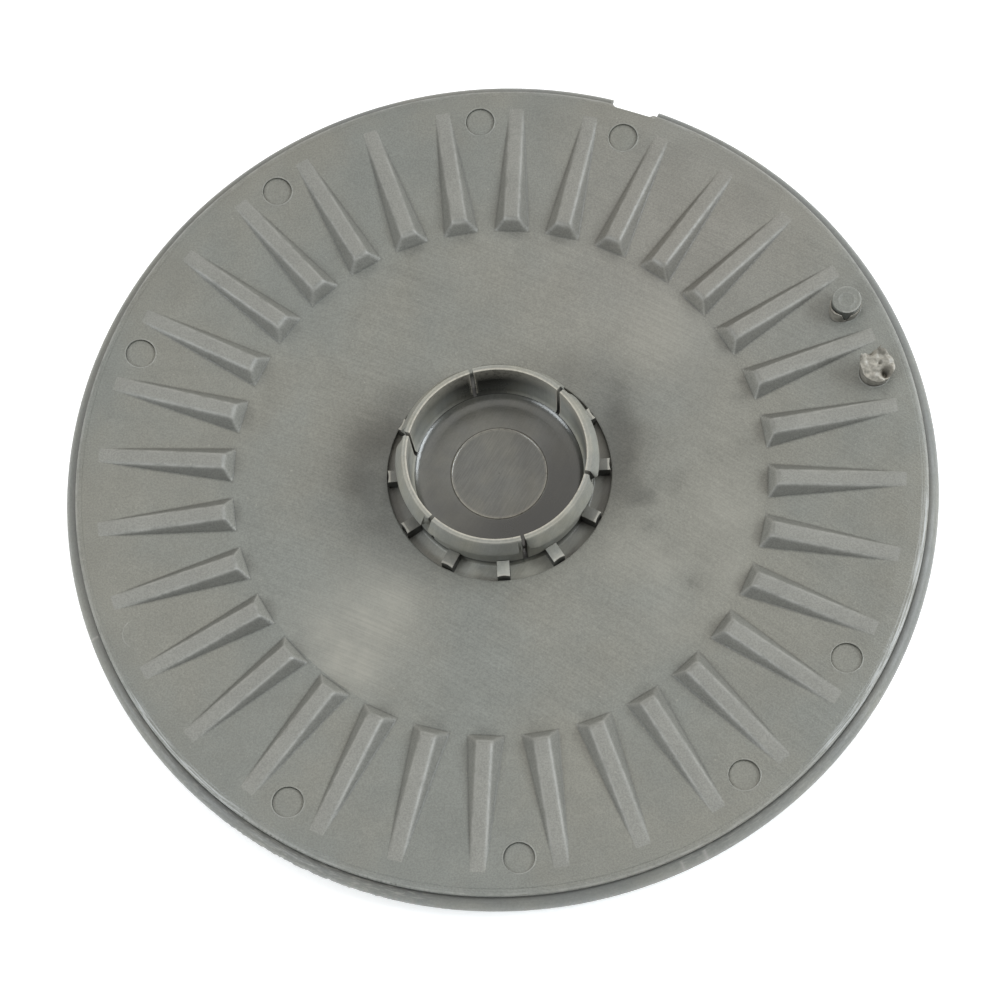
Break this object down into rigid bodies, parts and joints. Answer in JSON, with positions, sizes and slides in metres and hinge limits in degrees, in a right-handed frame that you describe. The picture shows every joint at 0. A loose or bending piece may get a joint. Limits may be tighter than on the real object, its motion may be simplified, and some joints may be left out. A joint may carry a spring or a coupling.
{
  "type": "surface cleaner disc",
  "caption": "Round ribbed plastic disc of a surface cleaner: radial ribs on a shallow cone, a springy snap-in hub collar in the middle and a notched rolled rim.",
  "frame": {"origin": "centre of the flat underside, on the disc's axis", "axes": "+Z along the disc's axis, out of the ribbed face with the snap collar; +X through the middle of one rib"},
  "size_m": [0.3, 0.3, 0.0286],
  "materials": {
    "plate_plastic": "satin, fine spark-eroded grain on the ribs, scuffed",
    "shell_plastic": "satin, scratched at the rim",
    "hub_plastic": "semi-gloss, worn light edges",
    "torn_plastic": "rough, stress-whitened break"
  },
  "bodies": {
    "disc": {"ribbed_plate": "plate_plastic", "back_shell": "shell_plastic", "hub_cup": "hub_plastic", "locating_lug_01": "plate_plastic", "locating_lug_02": "plate_plastic", "locating_lug_03": "plate_plastic", "locating_lug_04": "plate_plastic", "locating_lug_05": "plate_plastic", "locating_lug_06": "plate_plastic", "locating_lug_07": "plate_plastic", "locating_lug_08": "plate_plastic", "locating_lug_09": "plate_plastic", "locating_lug_10": "plate_plastic", "locating_lug_11": "plate_plastic", "locating_lug_12": "plate_plastic", "fixing_peg_1": "plate_plastic", "fixing_peg_2": "plate_plastic", "fixing_peg_3": "plate_plastic", "fixing_peg_4": "plate_plastic", "fixing_peg_5": "plate_plastic", "fixing_peg_6": "plate_plastic", "fixing_peg_7": "plate_plastic", "fixing_peg_8": "plate_plastic", "fixing_peg_9": "plate_plastic", "standing_peg": "plate_plastic", "torn_peg": "torn_plastic"},
    "snap_finger_1": {"snap_finger_1": "hub_plastic"},
    "snap_finger_2": {"snap_finger_2": "hub_plastic"},
    "snap_finger_3": {"snap_finger_3": "hub_plastic"},
    "snap_finger_4": {"snap_finger_4": "hub_plastic"},
    "snap_finger_5": {"snap_finger_5": "hub_plastic"},
    "snap_finger_6": {"snap_finger_6": "hub_plastic"}
  },
  "joints": [
    {"name": "snap_finger_1_flex", "type": "hinge", "parent": "disc", "child": "snap_finger_1", "pos_m": [0.01111, 0.02722, 0.0102], "axis": [-0.9259, 0.3778, 0], "range_deg": [-3.5, 0.8], "stiffness_Nm_per_rad": 1.2},
    {"name": "snap_finger_2_flex", "type": "hinge", "parent": "disc", "child": "snap_finger_2", "pos_m": [-0.01802, 0.02323, 0.0102], "axis": [-0.7902, -0.6129, 0], "range_deg": [-3.5, 0.8], "stiffness_Nm_per_rad": 1.2},
    {"name": "snap_finger_3_flex", "type": "hinge", "parent": "disc", "child": "snap_finger_3", "pos_m": [-0.02913, -0.00399, 0.0102], "axis": [0.1357, -0.9907, 0], "range_deg": [-3.5, 0.8], "stiffness_Nm_per_rad": 1.2},
    {"name": "snap_finger_4_flex", "type": "hinge", "parent": "disc", "child": "snap_finger_4", "pos_m": [-0.01111, -0.02722, 0.0102], "axis": [0.9259, -0.3778, 0], "range_deg": [-3.5, 0.8], "stiffness_Nm_per_rad": 1.2},
    {"name": "snap_finger_5_flex", "type": "hinge", "parent": "disc", "child": "snap_finger_5", "pos_m": [0.01802, -0.02323, 0.0102], "axis": [0.7902, 0.6129, 0], "range_deg": [-3.5, 0.8], "stiffness_Nm_per_rad": 1.2},
    {"name": "snap_finger_6_flex", "type": "hinge", "parent": "disc", "child": "snap_finger_6", "pos_m": [0.02913, 0.00399, 0.0102], "axis": [-0.1357, 0.9907, 0], "range_deg": [-3.5, 0.8], "stiffness_Nm_per_rad": 1.2}
  ]
}
